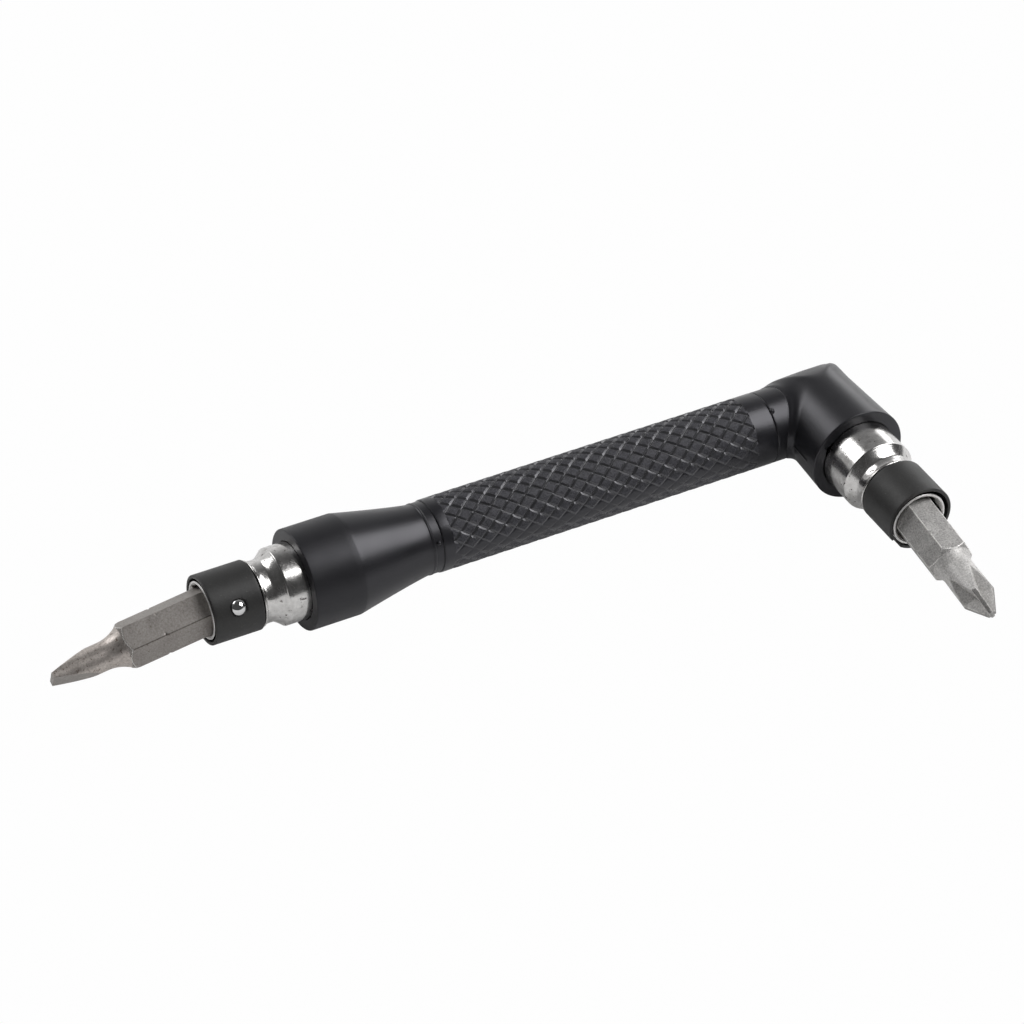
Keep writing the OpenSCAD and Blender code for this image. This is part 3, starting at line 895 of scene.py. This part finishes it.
slot_engaged = 3.25
cross_engaged = 5.7
shank_len = 15.5
shank_end = 0.7
shoulder = 0.55
shoulder_step = 0.06
corner_round = 0.10
past_corner = 0.1
shoulder_past = 0.05
shank_blend = 0.08
slot_notch_at = 9.9
cross_notch_at = 11.3
notch_depth = 0.22
notch_half = 0.38
shank_step = 0.1375
point_step = 0.1
point_lead = 0.8
tip_trim = 0.05
tip_edge = 0.04
bit_facets = 240
slot_len = 11.1
slot_width = 4.2
slot_thick = 0.8
slot_flat_len = 6.3
slot_curve = 3.2
blade_blend = 0.04
blade_turn = math.radians(-60)
cross_len = 11.6
cross_r = 2.55
cross_neck_r = 2.45
cross_curve = 2.0
cross_point = 3.8
cross_end_r = 0.65
flute_root = 0.5
flute_start = 3.1
flute_fall = 0.025
flute_blend = 0.05
wing_turn = math.radians(29.5)
cut_near = 0.03
shoulder_edge = 0.05
wing_edge_from = 0.6
stain_cosine = 0.9


def hung_head(head, joint, engaged):
    """A head for a bit, from the bit's own pull axis. Its mouth is the rear end of the bit."""
    out = np.array(next(j["axis"] for j in frame["joints"] if j["name"] == joint), float)
    out /= np.linalg.norm(out)
    across = head.across - head.across @ out * out
    pivot = head.mouth - head.out * engaged / 2
    across /= np.linalg.norm(across)
    return Head(pivot - out * engaged / 2, out, across, math.degrees(head.turn))


def shank_radius(z, angle, neck_r, curve, notch_at):
    """Radius of a bit's shank: eased ends, notches in its corners and the hollow run to its neck."""
    corner = hex_af / math.sqrt(3)
    turned = np.interp(z, [0, shank_end, shank_len - shoulder, shank_len],
                       [corner - shank_end, corner + past_corner, corner + shoulder_past, hex_af / 2])
    run = np.clip((z - shank_len) / curve, 0, 1)
    hollow = neck_r + (hex_af / 2 - shoulder_step - neck_r) * (1 - run) ** 2
    turned = np.where(z > shank_len, hollow, turned)
    notch = corner - notch_depth + np.abs(z - notch_at) / notch_half * (notch_depth + past_corner)
    notched = np.where(np.abs(z - notch_at) < notch_half, np.minimum(turned, notch), turned)
    return soft_min(hexagon(angle, hex_af, corner_round), notched, shank_blend)


def blade_radius(z, angle):
    """Radius of the two ground flats that leave the blade."""
    half = slot_thick / 2 + (shank_len + slot_len - z) * (slot_width - slot_thick) / 2 / slot_flat_len
    return half / np.maximum(np.abs(np.cos(angle - blade_turn)), 1e-3)


def slotted_radius(z, angle):
    """Radius of the slotted bit."""
    r = shank_radius(z, angle, slot_width / 2, slot_curve, slot_notch_at)
    return soft_min(r, blade_radius(z, angle), blade_blend)


def cross_radius(z, angle):
    """Radius of the cross-point bit: a taper to the point, and four flutes that leave the wings."""
    point_z = shank_len + cross_len - cross_point
    r = shank_radius(z, angle, cross_neck_r, cross_curve, cross_notch_at)
    swell = np.interp(z, [shank_len + cross_curve, point_z, shank_len + cross_len],
                      [cross_neck_r, cross_r, cross_end_r])
    r = np.where(z > shank_len + cross_curve, np.where(z > point_z, swell, np.maximum(r, swell)), r)
    return soft_min(r, flute_radius(z, angle), flute_blend)


def flute_radius(z, angle):
    """Radius of the four flutes, which come to an edge beside every wing."""
    point_z = shank_len + cross_len - cross_point
    steep = (cross_r - flute_root) / (point_z - shank_len - flute_start)
    root = flute_root + np.where(z < point_z, (point_z - z) * steep, (point_z - z) * flute_fall)
    wing = np.abs((angle - wing_turn + math.pi / 4) % (math.pi / 2) - math.pi / 4)
    return root * math.sin(math.pi / 4) / np.maximum(np.sin(wing), 1e-3)


def on_shoulder_edge(z, angle):
    """Whether each facet of a shank lies where the flats end at the shoulder's cone."""
    corner = hex_af / math.sqrt(3)
    cone = np.interp(z, [shank_len - shoulder, shank_len], [corner + shoulder_past, hex_af / 2])
    at_cone = np.abs(cone - hexagon(angle, hex_af, corner_round)) < shoulder_edge
    return at_cone & (z >= shank_len - shoulder)


def slotted_kinds(z, angle):
    """The finish of each facet of the slotted bit: 0 shank and flats, 1 worn edge with a painted
    highlight, 2 neck, lighter in part as a painted highlight, 3 stain.
    """
    if z < shank_len:
        stained = on_corner & (z < shank_len - shoulder) & (np.cos(angle) > stain_cosine)
        # The shoulder line takes the light edge finish: wear, and a painted highlight.
        return np.where(stained, 3, np.where(on_shoulder_edge(z, angle), 1, 0))
    ground = blade_radius(z, angle) < slotted_radius(z, angle) + cut_near
    # The rest of the blade takes the lighter neck finish, in part a painted highlight.
    return np.where(ground, 0, 2)


def cross_kinds(z, angle):
    """The finish of each facet of the cross bit: 0 shank, 1 worn edge with a painted highlight, 2 neck
    and flutes, lightened as painted light, 3 wing top, darkened as painted shade.
    """
    if z < shank_len:
        # Corner and shoulder lines take the light edge finish: wear, and a painted highlight.
        worn_highlight_corner = on_corner & (z < shank_len - shoulder) & (abs(z - cross_notch_at) > notch_half)
        return np.where(worn_highlight_corner | on_shoulder_edge(z, angle), 1, 0)
    fluted = flute_radius(z, angle) < cross_radius(z, angle) + cut_near
    # The edges where flutes meet wings take it too, as a painted highlight.
    edge = (fluted != np.roll(fluted, -1)) & (z > shank_len + flute_start + wing_edge_from)
    # Wing tops take the darker finish, a painted shade.
    top = ~fluted & (z > shank_len + cross_len - cross_point)
    return np.where(edge, 1, np.where(top, 3, 2))


front_bit_steel = grained_finish(
    "brown-grey bit steel", dark=(0.235, 0.215, 0.20), light=(0.42, 0.395, 0.375),
    mark=(0.15, 0.12, 0.10), rough=(0.44, 0.56), mark_rough=0.62, grain=(3600, 380),
    flecks=(2600, 0.62, 1.0), bump=(0.35, 0.00005), metallic=0.6, speckle=0.35)
side_bit_steel = grained_finish(
    "grey blasted bit steel", dark=(0.27, 0.263, 0.257), light=(0.55, 0.537, 0.525),
    mark=(0.17, 0.16, 0.15), rough=(0.50, 0.62), mark_rough=0.66, grain=(4000, 420),
    flecks=(3200, 0.62, 1.0), bump=(0.45, 0.00006), metallic=0.4, speckle=0.55)
# The neck is lighter than the shank: its turned finish, and in part a painted highlight.
front_neck_highlight = grained_finish(
    "turned brown-grey neck with painted highlight", dark=(0.34, 0.305, 0.28), light=(0.70, 0.645, 0.605),
    mark=(0.20, 0.155, 0.13), rough=(0.34, 0.46), mark_rough=0.5, grain=(3600, 500),
    flecks=(2600, 0.58, 1.0), bump=(0.4, 0.00005), metallic=0.75, speckle=0.3)
# Nearly white edge lines at the shoulder: wear, and a painted highlight where the edge catches the
# light.
front_worn_highlight = grained_finish(
    "brown-grey worn edges with painted highlight", dark=(0.66, 0.64, 0.62), light=(0.95, 0.93, 0.90), mark=(0.20, 0.17, 0.15),
    rough=(0.46, 0.58), mark_rough=0.62, grain=(3000, 900), flecks=(2600, 0.58, 1.0),
    bump=(0.2, 0.00003), metallic=0.2, speckle=0.3)
stained_corner = grained_finish(
    "brown stain", dark=(0.10, 0.085, 0.075), light=(0.22, 0.20, 0.185), mark=(0.09, 0.07, 0.06),
    rough=(0.52, 0.62), mark_rough=0.65, grain=(3600, 700), flecks=(2600, 0.60, 1.0),
    bump=(0.2, 0.00003), metallic=0.5, speckle=0.4)
# The neck and the flutes are lighter than the shank: a painted highlight on the neck, and painted light
# in the flutes' shade.
side_neck_painted_light = grained_finish(
    "turned grey neck with painted light", dark=(0.40, 0.39, 0.38), light=(0.76, 0.745, 0.73), mark=(0.22, 0.20, 0.19),
    rough=(0.48, 0.60), mark_rough=0.6, grain=(4000, 420), flecks=(3200, 0.61, 1.0),
    bump=(0.45, 0.00006), metallic=0.35, speckle=0.5)
# Light edge lines on the corners, the shoulder and the wings: wear, and a painted highlight where the
# edges catch the light.
side_worn_highlight = grained_finish(
    "bare worn edges with painted highlight", dark=(0.60, 0.58, 0.56), light=(0.92, 0.91, 0.89), mark=(0.30, 0.28, 0.26),
    rough=(0.34, 0.46), mark_rough=0.55, grain=(3000, 900), flecks=(2600, 0.60, 1.0),
    bump=(0.2, 0.00003), metallic=0.4, speckle=0.3)
# The tops of the wings are darker than the flutes beside them: painted shade.
wing_shade_steel = grained_finish(
    "wing tops with painted shade", dark=(0.18, 0.175, 0.17), light=(0.36, 0.35, 0.34), mark=(0.12, 0.115, 0.11),
    rough=(0.46, 0.58), mark_rough=0.62, grain=(4000, 420), flecks=(3200, 0.62, 1.0),
    bump=(0.45, 0.00006), metallic=0.5, speckle=0.5)
facets = np.linspace(0, 2 * math.pi, bit_facets, endpoint=False)
on_corner = (np.arange(len(facets)) + 1) % (len(facets) // 6) < 2
for head, joint, engaged, length, radius, kinds, title, node, steels in (
        (front_head, "front_bit_pull", slot_engaged, slot_len, slotted_radius, slotted_kinds,
         "slotted_insert", "slotted_bit", (front_bit_steel, front_worn_highlight, front_neck_highlight, stained_corner)),
        (side_head, "side_bit_pull", cross_engaged, cross_len, cross_radius, cross_kinds,
         "cross_insert", "cross_bit", (side_bit_steel, side_worn_highlight, side_neck_painted_light, wing_shade_steel))):
    hung = hung_head(head, joint, engaged)
    tip = shank_len + length
    shank_stations = np.arange(0, shank_len - point_lead, shank_step)
    point_stations = np.arange(shank_len - point_lead, tip - tip_trim, point_step)
    stations = np.concatenate((shank_stations, point_stations, (tip - tip_edge, tip)))
    bit_rings = [hung.at(z, radius(np.full(facets.shape, z), facets), facets) for z in stations]
    bit = lofted(title, np.stack(bit_rings), sharp=28)
    body = next(j["child"] for j in frame["joints"] if j["name"] == joint)
    fit_piece(bit, steels[0], body, node)
    for steel in steels[1:]:
        bit.data.materials.append(steel)
    for ring, z in enumerate(stations[:-1]):
        for facet, kind in enumerate(kinds(z, facets)):
            bit.data.polygons[ring * len(facets) + facet].material_index = int(kind)

# Stage
# A pale floor under the tool, a broad soft light above it, two side lights for the plated parts,
# and the camera where the photograph was taken from.

camera_place = (-229.13, -416.98, 407.67)
camera_azimuth = math.radians(28.306)
camera_elevation = math.radians(38.81)
camera_roll = math.radians(0.552)
camera_lens = 154.56
floor_half = 2.0
floor_seen = 0.99
floor_fill = 0.16
room_glow = 0.07

camera_data = bpy.data.cameras.new("camera")
camera_data.lens = camera_lens
camera_data.sensor_width = 36.0
camera_data.clip_start = 0.01
camera = bpy.data.objects.new("camera", camera_data)
bpy.context.scene.collection.objects.link(camera)
forward = Vector((math.sin(camera_azimuth) * math.cos(camera_elevation),
                  math.cos(camera_azimuth) * math.cos(camera_elevation), -math.sin(camera_elevation)))
level = Vector((math.cos(camera_azimuth), -math.sin(camera_azimuth), 0))
camera_right = level * math.cos(camera_roll) + level.cross(forward) * math.sin(camera_roll)
camera_up = camera_right.cross(forward)
camera_turn = Matrix((camera_right, camera_up, -forward)).transposed().to_4x4()
camera.matrix_world = Matrix.Translation(Vector(camera_place) * MM) @ camera_turn
bpy.context.scene.camera = camera

floor_mesh = bpy.data.meshes.new("floor")
floor_mesh.from_pydata([(x, y, 0) for x, y in ((-1, -1), (1, -1), (1, 1), (-1, 1))], [], [(0, 1, 2, 3)])
floor_mesh.transform(Matrix.Scale(floor_half, 4))
floor = bpy.data.objects.new("floor", floor_mesh)
bpy.context.scene.collection.objects.link(floor)
floor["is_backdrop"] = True
pale = bpy.data.materials.new("pale floor")
pale.use_nodes = True
tree = pale.node_tree
tree.nodes.clear()
seen = add_node(tree, "ShaderNodeLightPath")
glow = add_node(tree, "ShaderNodeEmission", {"Color": (1, 1, 1, 1), "Strength": floor_seen})
matt = add_node(tree, "ShaderNodeBsdfDiffuse", {"Color": (0.8, 0.8, 0.8, 1)})
fill = add_node(tree, "ShaderNodeEmission", {"Color": (1, 1, 1, 1), "Strength": floor_fill})
bounce = add_node(tree, "ShaderNodeAddShader")
mixed = add_node(tree, "ShaderNodeMixShader")
surface = add_node(tree, "ShaderNodeOutputMaterial")
wire(tree,
     (seen, "Is Camera Ray", mixed, "Fac"),
     (matt, "BSDF", bounce, 0),
     (fill, "Emission", bounce, 1),
     (bounce, "Shader", mixed, 1),
     (glow, "Emission", mixed, 2),
     (mixed, "Shader", surface, "Surface"))
floor_mesh.materials.append(pale)

world = bpy.data.worlds.new("studio")
world.use_nodes = True
tree = world.node_tree
tree.nodes.clear()
seen = add_node(tree, "ShaderNodeLightPath")
room = add_node(tree, "ShaderNodeBackground", {"Color": (1, 1, 1, 1)})
around_room = add_node(tree, "ShaderNodeTexCoord")
direction = add_node(tree, "ShaderNodeSeparateXYZ")
behind = add_node(tree, "ShaderNodeMapRange",
                  {"From Min": 0.0, "From Max": 0.9, "To Min": 0.0, "To Max": 1.0})
curved = add_node(tree, "ShaderNodeMath", {1: 2.0}, operation="POWER")
low_down = add_node(tree, "ShaderNodeMapRange",
                    {"From Min": 0.0, "From Max": 1.0, "To Min": 0.85, "To Max": 0.10})
backdrop_glow = add_node(tree, "ShaderNodeMath", operation="MULTIPLY")
with_room = add_node(tree, "ShaderNodeMath", {1: room_glow}, operation="ADD")
backdrop = add_node(tree, "ShaderNodeBackground", {"Color": (1, 1, 1, 1), "Strength": 1.0})
mixed = add_node(tree, "ShaderNodeMixShader")
surface = add_node(tree, "ShaderNodeOutputWorld")
wire(tree,
     (around_room, "Generated", direction, "Vector"),
     (direction, "Y", behind, "Value"),
     (behind, "Result", curved, 0),
     (direction, "Z", low_down, "Value"),
     (curved, "Value", backdrop_glow, 0),
     (low_down, "Result", backdrop_glow, 1),
     (backdrop_glow, "Value", with_room, 0),
     (with_room, "Value", room, "Strength"),
     (seen, "Is Camera Ray", mixed, "Fac"),
     (room, "Background", mixed, 1),
     (backdrop, "Background", mixed, 2),
     (mixed, "Shader", surface, "Surface"))
bpy.context.scene.world = world
bpy.context.scene.view_settings.view_transform = "Standard"


def soft_light(name, place, size, power):
    """A rectangular soft light that looks at the middle of the tool."""
    data = bpy.data.lights.new(name, "AREA")
    data.shape = "RECTANGLE"
    data.size, data.size_y = size
    data.energy = power
    lamp = bpy.data.objects.new(name, data)
    bpy.context.scene.collection.objects.link(lamp)
    target = sum(cad_box, Vector()) / 2
    turn = (target - Vector(place)).to_track_quat("-Z", "Y").to_matrix().to_4x4()
    lamp.matrix_world = Matrix.Translation(place) @ turn


soft_light("main", place=(0.35, -0.13, 0.45), size=(0.46, 0.40), power=2.75)
soft_light("back left", place=(-0.29, 0.50, 0.44), size=(0.38, 0.30), power=1.25)
soft_light("right", place=(0.64, 0.42, 0.16), size=(0.50, 0.25), power=0.72)

visual_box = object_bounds()
sizes = {"cad": [list(corner) for corner in cad_box], "visual": [list(corner) for corner in visual_box]}
